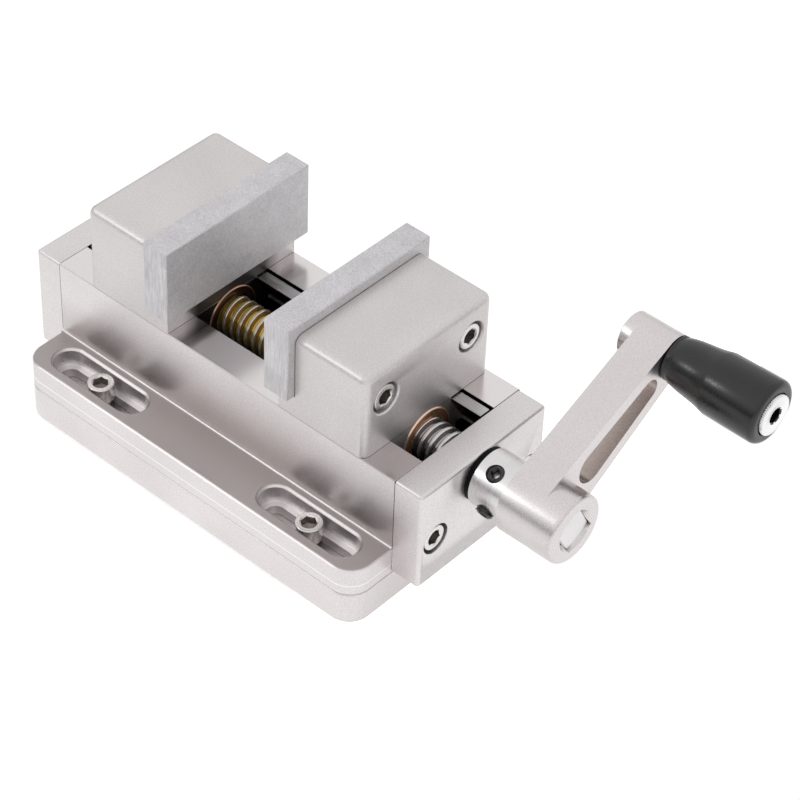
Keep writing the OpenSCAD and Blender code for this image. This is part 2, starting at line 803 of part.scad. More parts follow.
// Hardened plate on the front of a jaw, for the crank side
module jaw_plate() {
    difference() {
        intersection() {
            translate([jaw_front_x, 0, plate_z + plate_h / 2]) rotate([0, -90, 0])
                slab(plate_h, plate_w, plate_t, plate_edge, plate_edge);
            translate([plate_x, 0, plate_z + plate_h / 2]) rotate([0, 90, 0])
                slab(plate_h, plate_w, plate_t, plate_edge, plate_edge);
        }
        at_jaw_screws() cap_screw_hole(jaw_screw_x - jaw_front_x + jaw_thread_l + small_chamfer, 0);
    }
}

// Screws that hold a jaw plate, for the crank side
module jaw_screws() {
    at_jaw_screws() cap_screw(jaw_screw_x - jaw_front_x + jaw_thread_l);
}

// Nut of a jaw, a bronze sleeve right through its keel, for the crank side
module nut() {
    difference() {
        on_screw_axis(foot_x - nut_proud) {
            turned(nut_r, jaw_back_x - foot_x + 2 * nut_proud, small_chamfer);
        }
        on_screw_axis(foot_x - nut_proud - over)
            cylinder(r = screw_r + run_gap, h = jaw_back_x - foot_x + 2 * nut_proud + 2 * over);
        at_nut_screw() translate([0, 0, -nut_reach - slide_gap])
            cylinder(r = gib_point_d / 2 + fit_gap, h = nut_reach);
    }
}

// Screw that locks a nut in its keel, for the crank side
module nut_screw() {
    at_nut_screw() set_screw(nut_screw_d, nut_reach, gib_point_d, nut_point_l);
}

module near_jaw() { color("#cbc6c3") on_side(1) jaw(); }
module far_jaw() { color("#cbc6c3") on_side(-1) jaw(); }
module near_jaw_plate() { color("#a9abae") on_side(1) jaw_plate(); }
module far_jaw_plate() { color("#a9abae") on_side(-1) jaw_plate(); }
module near_jaw_screws() { color("#a9a6a4") on_side(1) jaw_screws(); }
module far_jaw_screws() { color("#a9a6a4") on_side(-1) jaw_screws(); }
module near_nut() { color("#b36b3c") on_side(1) nut(); }
module far_nut() { color("#b36b3c") on_side(-1) nut(); }
module near_nut_screw() { color("#3a3a3c") on_side(1) nut_screw(); }
module far_nut_screw() { color("#3a3a3c") on_side(-1) nut_screw(); }

base_plate();
vise_body();
crank_end_cap();
far_end_cap();
crank_cap_screws();
far_cap_screws();
clamp_screws();
gib_strip();
gib_screws();
crank_bushing();
far_bushing();
near_lead_screw();
far_lead_screw();
coupling_pin();
shaft_collar();
collar_set_screws();
crank_arm();
handle_spindle();
handle_grip();
near_jaw();
far_jaw();
near_jaw_plate();
far_jaw_plate();
near_jaw_screws();
far_jaw_screws();
near_nut();
far_nut();
near_nut_screw();
far_nut_screw();
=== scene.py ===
"""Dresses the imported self-centering vise: machined edges, threads, sockets, finishes, light, camera."""

import math

import bmesh
import bpy
from mathutils import Matrix, Vector


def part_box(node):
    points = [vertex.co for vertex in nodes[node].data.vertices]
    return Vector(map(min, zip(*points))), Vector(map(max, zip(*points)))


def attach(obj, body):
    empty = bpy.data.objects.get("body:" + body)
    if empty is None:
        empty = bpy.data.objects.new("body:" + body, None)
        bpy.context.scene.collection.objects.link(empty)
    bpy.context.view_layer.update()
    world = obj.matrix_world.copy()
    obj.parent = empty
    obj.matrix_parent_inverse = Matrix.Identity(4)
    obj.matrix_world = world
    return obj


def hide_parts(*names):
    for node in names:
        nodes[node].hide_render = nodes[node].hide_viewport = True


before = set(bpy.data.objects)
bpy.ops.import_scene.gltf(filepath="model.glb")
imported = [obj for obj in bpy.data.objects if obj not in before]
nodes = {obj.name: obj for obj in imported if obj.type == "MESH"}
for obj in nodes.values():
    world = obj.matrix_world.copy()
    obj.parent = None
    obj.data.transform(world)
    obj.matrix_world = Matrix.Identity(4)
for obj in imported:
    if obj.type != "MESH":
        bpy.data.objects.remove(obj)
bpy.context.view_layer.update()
scene = bpy.context.scene
MM = 0.001


# ---------------------------------------------------------------- places in the frame, in metres

# Heights of faces and of the lead screw's axis; the painted shade in the channel ends just below the rails
BASE_Z = 0.0164
SLOT_FLOOR_Z = 0.0212
FLANGE_Z = 0.0302
FILLET_TOP_Z = FLANGE_Z + 0.0015
SCREW_Z = 0.0554
RAIL_Z = 0.0674
CHANNEL_LOW_Z = 0.030
CHANNEL_SHADE_TOP_Z = RAIL_Z - 0.0003
GIB_TOP_Z = RAIL_Z - 0.0011
# Half widths of the channel, of the rails' flat tops and of the body, and where the end caps start
CHANNEL_Y = 0.02215
RAIL_FLAT_Y = 0.0377
SIDE_Y = 0.0381
CAP_X = 0.0967
# Where the crank end of a rail darkens, and up to where the sides are dark
RAIL_SHADE_X = (0.050, 0.088)
SIDE_SHADE_Z = (0.038, 0.052)
# Plane on which the jaws close, and distances from it on both sides
JAW_MIDDLE = 0.001
PLATE_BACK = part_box("near_jaw_plate")[1][0] - JAW_MIDDLE
JAW_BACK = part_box("near_jaw")[1][0] - JAW_MIDDLE - 0.0004
PLATE_LOW_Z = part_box("near_jaw_plate")[0][2]
# Depth, along X, at which the arm's pocket is past its rounded rim
POCKET_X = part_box("shaft_collar")[1][0] + 0.0160
CRANK_ANGLE = math.radians(28.1)
CRANK_R = 0.082
HANDLE_Y = CRANK_R * math.cos(CRANK_ANGLE)
HANDLE_Z = SCREW_Z + CRANK_R * math.sin(CRANK_ANGLE)

# Width over which a crisp mask goes from 0 to 1, and half the width of a seam and of a band
STEP = 0.0001
SEAM_HALF = 0.00022
BAND_HALF = 0.0004


# ---------------------------------------------------------------- node trees

class Nodes:
    """Adds nodes and links to an emptied node tree."""

    def __init__(self, tree):
        self.tree = tree
        tree.nodes.clear()

    def node(self, kind, **settings):
        made = self.tree.nodes.new(kind)
        for key, value in settings.items():
            setattr(made, key, value)
        return made

    def link(self, a, a_socket, b, b_socket):
        self.tree.links.new(a.outputs[a_socket], b.inputs[b_socket])

    def put(self, node, **values):
        """Sets inputs by their names, written with underscores."""
        for key, value in values.items():
            node.inputs[key.replace("_", " ")].default_value = value
        return node

    def calc(self, operation, a, b=None, a_socket=0, b_socket=0, clamp=False):
        """Math node of one or two values, each a number or a node's output."""
        m = self.node("ShaderNodeMath", operation=operation, use_clamp=clamp)
        for i, (value, socket) in enumerate(((a, a_socket), (b, b_socket))):
            if isinstance(value, (int, float)):
                m.inputs[i].default_value = value
            elif value is not None:
                self.link(value, socket, m, i)
        return m

    def product(self, first, *others):
        """Product of the first outputs of several nodes."""
        for other in others:
            first = self.calc("MULTIPLY", first, other)
        return first

    def ramp(self, source, socket, low, high, c0=0.0, c1=1.0, smooth=False):
        """Goes from c0 to c1 while a node's output goes from low to high."""
        r = self.node("ShaderNodeMapRange", interpolation_type="SMOOTHSTEP" if smooth else "LINEAR")
        self.put(r, From_Min=low, From_Max=high, To_Min=c0, To_Max=c1)
        self.link(source, socket, r, "Value")
        return r


class Shader(Nodes):
    """One material, with masks that are 1 at some place on the object and 0 elsewhere."""

    def __init__(self, name):
        self.material = bpy.data.materials.new(name)
        self.material.use_nodes = True
        super().__init__(self.material.node_tree)
        self.out = self.node("ShaderNodeOutputMaterial")
        self.bsdf = self.node("ShaderNodeBsdfPrincipled")
        self.link(self.bsdf, "BSDF", self.out, "Surface")
        self.place = self.node("ShaderNodeTexCoord")
        self.axes = self.node("ShaderNodeSeparateXYZ")
        self.link(self.place, "Object", self.axes, "Vector")

    def noise(self, scale, detail, rough=0.5, vector=None):
        """Noise over the object, or over the vector of another node."""
        n = self.node("ShaderNodeTexNoise")
        self.put(n, Scale=scale, Detail=detail, Roughness=rough)
        if vector is None:
            self.link(self.place, "Object", n, "Vector")
        else:
            self.link(vector, "Vector", n, "Vector")
        return n

    def blend(self, factor, a, b):
        """Mixes two colours, each a triple or a node made by blend."""
        m = self.node("ShaderNodeMix", data_type="RGBA")
        for i, c in ((6, a), (7, b)):
            if isinstance(c, tuple):
                m.inputs[i].default_value = (*c, 1)
            else:
                self.link(c, 2, m, i)
        self.link(factor, 0, m, 0)
        return m

    def speckled(self, colour, coarse, fine, coarse_part, fine_part):
        """A colour that drifts with one noise and sparkles with another."""
        drift = self.ramp(coarse, 0, 0.3, 0.7, -coarse_part, coarse_part)
        spark = self.ramp(fine, 0, 0.25, 0.75, -fine_part, fine_part)
        span = coarse_part + fine_part
        factor = self.ramp(self.calc("ADD", drift, spark), 0, -span, span)
        return self.blend(factor, tuple(c * (1 - span) for c in colour),
                          tuple(min(1.0, c * (1 + span)) for c in colour))

    def dress(self, shade, metal, grain, rough, vary, bump, depth, polish=None):
        """Sets the colour, and a roughness and a bump that follow one grain."""
        self.link(shade, 2, self.bsdf, "Base Color")
        self.put(self.bsdf, Metallic=metal)
        dull = self.ramp(grain, 0, 0.3, 0.7, rough - vary, rough + vary)
        self.link(polish(self, dull) if polish else dull, 0, self.bsdf, "Roughness")
        relief = self.put(self.node("ShaderNodeBump"), Strength=bump, Distance=depth)
        self.link(grain, 0, relief, "Height")
        self.link(relief, "Normal", self.bsdf, "Normal")
        return self.material

    def along(self, axis, low, high, c0=0.0, c1=1.0):
        """Ramp along one axis of the object."""
        return self.ramp(self.axes, axis, low, high, c0, c1)

    def off_y(self):
        """Distance from the plane Y = 0."""
        return self.calc("ABSOLUTE", self.axes, None, "Y")

    def off_x(self, middle):
        """Distance along X from a plane."""
        return self.calc("ABSOLUTE", self.calc("SUBTRACT", self.axes, middle, "X"))

    def between(self, half_y, low, high, soft=STEP, fade=STEP):
        """About the plane Y = 0, from one height up to another; soft sideways and faded at the top."""
        return self.product(self.ramp(self.off_y(), 0, half_y, half_y + soft, 1.0, 0.0),
                            self.along("Z", high - fade, high, 1.0, 0.0),
                            self.along("Z", low - STEP, low))

    def band(self, level, half):
        """On a thin band about a height."""
        off = self.calc("ABSOLUTE", self.calc("SUBTRACT", self.axes, level, "Z"))
        return self.ramp(off, 0, half * 0.5, half, 1.0, 0.0)

    def seam(self, distance, above, half=SEAM_HALF, middle=0.0):
        """On two thin bands, at one distance along X on both sides of a plane, above a height."""
        off = self.calc("ABSOLUTE", self.calc("SUBTRACT", self.off_x(middle), distance))
        return self.product(self.ramp(off, 0, half * 0.5, half, 1.0, 0.0),
                            self.along("Z", above, above + STEP))

    def beyond(self, distance):
        """Further than this along X from the plane on which the jaws close."""
        return self.ramp(self.off_x(JAW_MIDDLE), 0, distance - STEP, distance)

    def left(self, amount=1.0):
        """An amount on the side on which Y is negative."""
        return self.along("Y", -2 * STEP, 0.0, amount, 0.0)

    def body_side(self, amount):
        """An amount, in place of 1, on the body's upright sides above the fillet."""
        return self.product(self.ramp(self.off_y(), 0, SIDE_Y - STEP, SIDE_Y, 0.0, amount),
                            self.along("Z", FILLET_TOP_Z, FILLET_TOP_Z + 0.001))

    def arm_pocket(self):
        """On the walls and floors of the pockets in the crank's arm, which taper towards its tip."""
        half_at_hub, taper, first, last, edge = 0.00972, 0.0697, 0.0167, 0.0710, 0.0004
        c, n = math.cos(CRANK_ANGLE), math.sin(CRANK_ANGLE)
        up = self.calc("SUBTRACT", self.axes, SCREW_Z, "Z")
        out = self.calc("ADD", self.calc("MULTIPLY", self.axes, c, "Y"), self.calc("MULTIPLY", up, n))
        across = self.calc("SUBTRACT", self.calc("MULTIPLY", up, c),
                           self.calc("MULTIPLY", self.axes, n, "Y"))
        half = self.calc("SUBTRACT", half_at_hub, self.calc("MULTIPLY", out, taper))
        slack = self.calc("SUBTRACT", half, self.calc("ABSOLUTE", across))
        return self.product(self.ramp(slack, 0, -4 * edge, -3 * edge),
                            self.ramp(out, 0, first, first + edge),
                            self.ramp(out, 0, last - edge, last, 1.0, 0.0),
                            self.along("X", POCKET_X - edge, POCKET_X, 1.0, 0.0))


# ---------------------------------------------------------------- kinds of metal and plastic

def satin(name, colour, rough, grain=1500.0, depth=0.000012, drift=0.04, spark=0.15, metal=1.0,
          tint=None, polish=None):
    """Fine blasted metal; tint and polish change its colour and its roughness at some places."""
    s = Shader(name)
    fine = s.noise(grain, 2.0, 0.7)
    shade = s.speckled(colour, s.noise(28.0, 3.0), fine, drift, spark)
    return s.dress(tint(s, shade) if tint else shade, metal, fine, rough, 0.05, 0.35, depth, polish)


def brushed(name, colour, axis, rough, lines, metal=1.0, drift=0.06, spark=0.08, length=0.02,
            tint=None, cloudy=False):
    """Ground or brushed metal: noise drawn out along one axis; clouded on faces that look along X."""
    s = Shader(name)
    stretched = s.put(s.node("ShaderNodeMapping"), Scale=[length if a == axis else 1.0 for a in "xyz"])
    s.link(s.place, "Object", stretched, "Vector")
    streak = s.noise(lines, 3.0, 0.65, stretched)
    if cloudy:
        faces = s.node("ShaderNodeSeparateXYZ")
        s.link(s.node("ShaderNodeNewGeometry"), "Normal", faces, "Vector")
        broad = s.ramp(s.calc("ABSOLUTE", faces, None, "X"), 0, 0.5, 0.7)
        clouds = s.product(s.noise(lines * 0.6, 4.0, 0.75), broad)
        streak = s.calc("ADD", clouds, s.product(streak, s.calc("SUBTRACT", 1.0, broad)))
    shade = s.speckled(colour, s.noise(90.0, 5.0, 0.7), streak, drift, spark)
    return s.dress(tint(s, shade) if tint else shade, metal, streak, rough, 0.08, 0.3, 0.00001)


def turned(name, colour, rough, centre=(0.0, SCREW_Z), rings=1500.0, shade_and_highlight=None, metal=1.0):
    """Lathe-turned metal with fine rings about an axis along X.

    Painted light and shade by radius: another colour for the inner radii, and the two radii between which
    it gives way to the first, darken thread roots and nut faces against the highlights painted on crests
    and rims.
    """
    s = Shader(name)
    y = s.calc("SUBTRACT", s.axes, centre[0], "Y")
    z = s.calc("SUBTRACT", s.axes, centre[1], "Z")
    radius = s.calc("SQRT", s.calc("ADD", s.product(y, y), s.product(z, z)))
    joined = s.node("ShaderNodeCombineXYZ")
    s.link(radius, 0, joined, "X")
    s.link(s.axes, "X", joined, "Y")
    lines = s.noise(rings, 3.0, 0.6, joined)
    shade = s.speckled(colour, s.noise(60.0, 3.0), lines, 0.05, 0.06)
    # Painted shade inside the two radii, painted highlight outside them
    if shade_and_highlight is not None:
        low_colour, low, high = shade_and_highlight
        shade = s.blend(s.ramp(radius, 0, low, high), low_colour, shade)
    return s.dress(shade, metal, lines, rough, 0.07, 0.35, 0.000006)


def moulded(name, colour, rough, specular):
    """Dark smooth plastic or oxide: an even colour with a faint unevenness in the gloss."""
    s = Shader(name)
    fine = s.noise(900.0, 3.0)
    s.put(s.bsdf, Specular_IOR_Level=specular)
    return s.dress(s.speckled(colour, s.noise(40.0, 2.0), fine, 0.15, 0.1), 0.0, fine, rough, 0.05,
                   0.2, 0.00001)


# ---------------------------------------------------------------- colours that depend on the place

# Painted shade: a near-black colour on everything inside the channel below the rails
PAINTED_CHANNEL_SHADE = (0.020, 0.018, 0.017)
SEAM_DARK = (0.16, 0.14, 0.13)
# Painted shade under the jaw plates
UNDER_PLATE_SHADE = (0.10, 0.09, 0.085)
KEEL_SHADE = (0.24, 0.22, 0.21)
BODY_SHADE = (0.38, 0.34, 0.33)
# Painted shade on the flange's top, beside the body's wall
FLANGE_TOP_SHADE = (0.405, 0.375, 0.365)
GROUND = (0.73, 0.69, 0.69)
# Slot floors: bright machined steel, lifted further by painted light against their shade
SLOT_FLOOR_PAINTED_LIGHT = (0.86, 0.84, 0.83)
# Painted highlight on the edge where the crank-side cap meets the left rail's top
PAINTED_EDGE_HIGHLIGHT = (0.95, 0.93, 0.93)
# Painted light in the crank arm's pockets, lifting their shade
POCKET_PAINTED_LIGHT = (0.68, 0.625, 0.60)

# The joint between base plate and body is a dark line half on each of them
JOINT_OFF, JOINT_HALF = 0.00018, 0.00016


def cap_seams(s, shade):
    """Dark seams against the end caps, and a painted highlight on the edge above the crank-side one."""
    shade = s.blend(s.seam(CAP_X, FLANGE_Z + 0.001), shade, SEAM_DARK)
    # Painted highlight along the left rail's top edge at the crank-side cap
    light = s.product(s.left(), s.along("X", 0.0, 2 * STEP), s.seam(CAP_X, RAIL_Z - STEP))
    return s.blend(light, shade, PAINTED_EDGE_HIGHLIGHT)


def plate_tint(s, shade):
    """Base plate and end caps."""
    return cap_seams(s, s.blend(s.band(BASE_Z - JOINT_OFF, JOINT_HALF), shade, SEAM_DARK))


def body_tint(s, shade):
    """Body: ground rail tops and a dark joint, painted light on the slot floors, and painted shade on the
    flange top, in the channel, low on the sides and at one rail's crank end.
    """
    # Bands by height: a dark joint, painted shade on the flange top, painted light on the slot floors,
    # ground rail tops
    for level, half, colour in ((BASE_Z + JOINT_OFF, JOINT_HALF, SEAM_DARK),
                                (FLANGE_Z, BAND_HALF, FLANGE_TOP_SHADE),
                                (SLOT_FLOOR_Z, BAND_HALF, SLOT_FLOOR_PAINTED_LIGHT),
                                (RAIL_Z, BAND_HALF, GROUND)):
        shade = s.blend(s.band(level, half), shade, colour)
    # Painted shade inside the channel, below the rails
    shade = s.blend(s.between(CHANNEL_Y, CHANNEL_LOW_Z, CHANNEL_SHADE_TOP_Z), shade, PAINTED_CHANNEL_SHADE)
    shade = cap_seams(s, shade)
    crank_end = s.product(s.left(0.45), s.along("X", *RAIL_SHADE_X), s.band(RAIL_Z, BAND_HALF))
    shade = s.blend(crank_end, shade, BODY_SHADE)
    low_side = s.product(s.body_side(0.40), s.along("Z", *SIDE_SHADE_Z, 1.0, 0.0))
    return s.blend(low_side, shade, BODY_SHADE)


def body_polish(s, dull):
    """Smoother ground tops of the rails and sides, rougher chamfers along the rails."""
    off = s.off_y()
    flat = s.product(s.band(RAIL_Z, BAND_HALF),
                     s.ramp(off, 0, RAIL_FLAT_Y - 0.0003, RAIL_FLAT_Y, 0.22, 0.0))
    chamfer = s.product(s.ramp(off, 0, RAIL_FLAT_Y - 0.0002, RAIL_FLAT_Y, 0.0, 0.35),
                        s.along("Z", RAIL_Z - 0.0005, RAIL_Z - 0.0004))
    smoother = s.calc("SUBTRACT", s.calc("SUBTRACT", dull, flat), s.body_side(0.045))
    return s.calc("ADD", smoother, chamfer)


def jaw_tint(s, shade):
    """Jaws: dark seams on rail and plate, and painted shade below the plate, on the keel inside the
    channel and on the shaded back about the lead screw.
    """
    shade = s.blend(s.band(RAIL_Z, SEAM_HALF), shade, SEAM_DARK)
    shade = s.blend(s.seam(PLATE_BACK, PLATE_LOW_Z, half=0.0005, middle=JAW_MIDDLE), shade, SEAM_DARK)
    # Painted shade on the jaw's front below the plate, between rail and plate
    below_plate = s.between(half_y=0.020, low=RAIL_Z, high=PLATE_LOW_Z + 0.0005, soft=0.009)
    strip = s.blend(below_plate, shade, UNDER_PLATE_SHADE)
    shade = s.blend(s.beyond(PLATE_BACK), strip, shade)
    # Painted shade on the keel inside the channel, below the rails
    keel = s.blend(s.between(CHANNEL_Y, CHANNEL_LOW_Z, CHANNEL_SHADE_TOP_Z), shade, PAINTED_CHANNEL_SHADE)
    behind = s.between(half_y=0.010, low=CHANNEL_LOW_Z, high=RAIL_Z + 0.008, soft=0.018, fade=0.016)
    back = s.blend(behind, shade, KEEL_SHADE)
    return s.blend(s.beyond(JAW_BACK), keel, back)


def gib_tint(s, shade):
    """Gib strip: painted shade below its top."""
    return s.blend(s.between(CHANNEL_Y, CHANNEL_LOW_Z, GIB_TOP_Z), shade, PAINTED_CHANNEL_SHADE)


def arm_tint(s, shade):
    """Crank: painted light in its pockets, a warmer colour a little lighter than the arm's, that lifts
    their shade.
    """
    return s.blend(s.arm_pocket(), shade, POCKET_PAINTED_LIGHT)


# ---------------------------------------------------------------- materials

SILVER = (0.70, 0.665, 0.665)
NICKEL = satin("satin_nickel", SILVER, 0.40, tint=plate_tint)
BODY_NICKEL = satin("body_nickel", SILVER, 0.40, tint=body_tint, polish=body_polish)
JAW_NICKEL = satin("jaw_nickel", (0.655, 0.62, 0.62), 0.42, metal=0.75, tint=jaw_tint)
CRANK_METAL = satin("blasted_crank", (0.655, 0.62, 0.615), 0.30, grain=2800.0, depth=0.00003,
                    drift=0.02, spark=0.19, tint=arm_tint)
FASTENER = satin("stainless_screw", (0.70, 0.68, 0.67), 0.28, grain=3000.0)
# Painted shade on the walls and floors of the cap screws' hex sockets
SOCKET_WALL_SHADE = satin("shaded_socket_wall", (0.35, 0.32, 0.30), 0.30, grain=3000.0)
PLATE_STEEL = brushed("ground_plate", (0.60, 0.585, 0.60), "z", 0.46, 1600.0, metal=0.35,
                      drift=0.09, spark=0.24, length=0.08, cloudy=True)
GIB_STEEL = brushed("brushed_gib", (0.54, 0.53, 0.535), "x", 0.30, 1400.0, tint=gib_tint)
# Yellow zinc: gold roots, and crests painted whitish as a highlight
GOLD = turned("yellow_zinc", (0.95, 0.82, 0.70), 0.28, rings=2500.0,
              shade_and_highlight=((0.56, 0.40, 0.10), 0.0089, 0.0095), metal=0.8)
# Steel thread: crests painted light as a highlight, roots painted dark as shade
SCREW_STEEL = turned("screw_steel", (0.86, 0.84, 0.84), 0.28, rings=2500.0,
                     shade_and_highlight=((0.42, 0.40, 0.40), 0.0088, 0.0095), metal=0.9)
# Bronze: the near nut's rim painted light as a highlight
BRONZE = turned("turned_bronze", (0.95, 0.66, 0.50), 0.30,
                shade_and_highlight=((0.52, 0.26, 0.15), 0.0130, 0.0134), metal=0.8)
# Painted shade: a darkened copy of the bronze for the far nut, in the channel, near black on its face
SHADED_BRONZE = turned("shaded_bronze", (0.66, 0.38, 0.26), 0.30,
                     shade_and_highlight=((0.08, 0.045, 0.03), 0.0131, 0.0136), metal=0.8)
BRIGHT = turned("bright_turned", (0.72, 0.70, 0.705), 0.27)
SPINDLE = turned("spindle_steel", (0.84, 0.83, 0.835), 0.30, (HANDLE_Y, HANDLE_Z))
BLACK_OXIDE = moulded("black_oxide", (0.006, 0.006, 0.008), 0.20, 0.6)
DARK_HOLE = moulded("socket_shade", (0.004, 0.004, 0.005), 0.30, 0.5)
BLACK_BUSH = moulded("black_bushing", (0.003, 0.003, 0.003), 0.50, 0.08)
GRIP_BLACK = moulded("grip_black", (0.002, 0.002, 0.0025), 0.25, 0.58)


# ---------------------------------------------------------------- mesh tools; profiles are in mm

def finish_piece(name, bm, material, body, node, sharp=30.0, second=None):
    """Turns mesh data into a smooth-shaded piece that rides on a body in place of a CAD node."""
    bmesh.ops.recalc_face_normals(bm, faces=bm.faces)
    mesh = bpy.data.meshes.new(name)
    bm.to_mesh(mesh)
    bm.free()
    piece = bpy.data.objects.new(name, mesh)
    scene.collection.objects.link(piece)
    for m in (material, second):
        if m is not None:
            mesh.materials.append(m)
    mesh.polygons.foreach_set("use_smooth", [True] * len(mesh.polygons))
    mesh.set_sharp_from_angle(angle=math.radians(sharp))
    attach(piece, body)
    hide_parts(node)
    return piece


def machined(node, material, body, edge, segments=2, edge_size=None):
    """Copies a CAD solid, joins its coplanar faces and breaks its edges with a small round."""
    bm = bmesh.new()
    bm.from_mesh(nodes[node].data)
    bmesh.ops.remove_doubles(bm, verts=bm.verts, dist=1e-6)
    bmesh.ops.dissolve_limit(bm, angle_limit=math.radians(0.4), verts=bm.verts, edges=bm.edges)
    weight = bm.edges.layers.float.new("bevel_weight_edge")
    for e in bm.edges:
        if len(e.link_faces) == 2 and e.calc_face_angle(0.0) > math.radians(30.0):
            size = edge_size((e.verts[0].co + e.verts[1].co) / 2) if edge_size else edge
            e[weight] = size / edge
    piece = finish_piece(node + "_finish", bm, material, body, node)
    mod = piece.modifiers.new("broken_edges", "BEVEL")
    mod.width = edge * MM
    mod.segments = segments
    mod.limit_method = "WEIGHT"
    mod.harden_normals = True
    mod.use_clamp_overlap = True


def value_at(value, angle):
    """A number, or a function of the angle, at an angle."""
    return value(angle) if callable(value) else value


def ring(bm, x, radius, count):
    """A ring of points about the X axis; x and radius may be functions of the angle."""
    made = []
    for i in range(count):
        a = 2 * math.pi * i / count
        r = value_at(radius, a) * MM
        made.append(bm.verts.new((value_at(x, a) * MM, r * math.cos(a), r * math.sin(a))))
    return made


def lathe(bm, profile, count, closed=False):
    """Rings along a profile of (x, radius), joined one after another, with flat ends or as a loop."""
    rings = [ring(bm, x, r, count) for x, r in profile]
    for a, b in zip(rings, rings[1:] + rings[:1] if closed else rings[1:]):
        for i in range(count):
            j = (i + 1) % count
            bm.faces.new((a[i], a[j], b[j], b[i]))
    if not closed:
        bm.faces.new(rings[0])
        bm.faces.new(rings[-1])


def hexagon(flats):
    """Radius of a hexagon of a width across flats, as a function of the angle."""
    def radius(a):
        sector = (a + math.pi / 6) % (math.pi / 3) - math.pi / 6
        return flats / 2 / math.cos(sector)
    return radius


def arc(x, r, size, start, stop, steps):
    """Points of a rounding about (x, r)."""
    made = []
    for i in range(steps + 1):
        t = math.radians(start + (stop - start) * i / steps)
        made.append((x + size * math.cos(t), r + size * math.sin(t)))
    return made


def socket_rings(face_x, flats, depth, rim):
    """Rings of a hexagon socket that starts at a flat face and runs towards -X."""
    side = hexagon(flats)
    mouth = flats / math.sqrt(3) + rim
    return [
        (face_x, mouth),
        (lambda a: face_x - 0.6 * (mouth - side(a)), side),
        (face_x - depth, side),
        (face_x - depth - 0.02, lambda a: side(a) * 0.94),
        (face_x - depth - flats * 0.22, 0.05),
    ]


def second_inside(bm, flats, low, high):
    """Gives the walls and the floor of a socket, between two places along X, the second material, which
    paints their shade.
    """
    for f in bm.faces:
        c = f.calc_center_median()
        if low * MM + 1e-6 < c.x < high * MM and math.hypot(c.y, c.z) < flats / math.sqrt(3) * MM * 1.01:
            f.material_index = 1


# Sections of a thread along one pitch: the part of the pitch, and the part of the depth there
SCREW_WAVE = [(0.0, 0.0), (0.11, 0.0), (0.155, 0.06), (0.185, 0.20), (0.285, 0.86), (0.32, 0.97),
              (0.36, 1.0), (0.5, 1.0), (0.64, 1.0), (0.68, 0.97), (0.715, 0.86), (0.815, 0.20),
              (0.845, 0.06), (0.89, 0.0)]
FINE_WAVE = [(0.0, 0.0), (0.08, 0.05), (0.42, 0.92), (0.5, 1.0), (0.58, 0.92), (0.92, 0.05)]


def thread_rings(bm, wave, radius, pitch, depth, x0, x1, hand, crest_x, count, ends=True):
    """Helical thread about X between two planes; a crest lies at crest_x on the +Z side."""
    n = len(wave)
    points = n * (int(math.ceil((x1 - x0) / pitch)) + 3)
    start = crest_x - math.ceil((crest_x - x0) / pitch + 1) * pitch
    grid = []
    for i in range(count):
        a = 2 * math.pi * i / count
        shift = hand * pitch * (a - math.pi / 2) / (2 * math.pi)
        row = []
        for k in range(points):
            u, d = wave[k % n]
            r = radius - depth * d
            x = start + (k // n + u) * pitch + shift
            row.append(bm.verts.new((x * MM, r * math.cos(a) * MM, r * math.sin(a) * MM)))
        grid.append(row)
    for i, here in enumerate(grid):
        there = grid[(i + 1) % count]
        slip = hand * n if i == count - 1 else 0
        for k in range(points - 1):
            c, d = k + 1 + slip, k + slip
            if 0 <= c < points and 0 <= d < points:
                bm.faces.new((here[k], here[k + 1], there[c], there[d]))
    for x, side in ((x0, -1), (x1, 1)):
        bmesh.ops.bisect_plane(bm, geom=bm.verts[:] + bm.edges[:] + bm.faces[:], dist=1e-9,
                               plane_co=(x * MM, 0, 0), plane_no=(side, 0, 0), clear_outer=True)
    bmesh.ops.remove_doubles(bm, verts=bm.verts, dist=1e-8)
    if ends:
        bmesh.ops.holes_fill(bm, edges=[e for e in bm.edges if e.is_boundary], sides=0)


def place(bm, matrix):
    bmesh.ops.transform(bm, matrix=matrix, verts=bm.verts)


def join(target, source):
    """Adds one mesh under construction to another."""
    mesh = bpy.data.meshes.new("part")
    source.to_mesh(mesh)
    source.free()
    target.from_mesh(mesh)
    bpy.data.meshes.remove(mesh)


def add_lathe(target, profile, count):
    """Adds a solid of revolution to a mesh under construction."""
    bm = bmesh.new()
    lathe(bm, profile, count)
    join(target, bm)


def axis_frame(origin, direction, up=(0, 0, 1)):
    """Matrix that takes +X to a direction and the origin to a point in mm."""
    x = Vector(direction).normalized()
    z = (Vector(up) - x * Vector(up).dot(x)).normalized()
    m = Matrix((x, z.cross(x), z)).transposed().to_4x4()
    m.translation = Vector(origin) * MM
    return m


# ---------------------------------------------------------------- sizes in mm

def mm_box(node):
    lo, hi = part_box(node)
    return [v / MM for v in lo], [v / MM for v in hi]


COLLAR_LO, COLLAR_HI = mm_box("shaft_collar")
AXIS_Z = SCREW_Z / MM
HUB_X = COLLAR_HI[0] + 0.1
ARM_X = HUB_X + 17.0
PITCH = 25.4 / 6
SCREW_R = 9.525
BORE_R = 9.585
JOINT_X = JAW_MIDDLE / MM
BOLT_R = 3.97
HEAD_R = 5.95
HEAD_H = 7.9
HEX = 6.35
ON_SCREW_AXIS = Matrix.Translation((0, 0, SCREW_Z))
ON_HANDLE_AXIS = Matrix.Translation((0, HANDLE_Y, HANDLE_Z))


# ---------------------------------------------------------------- machined blocks

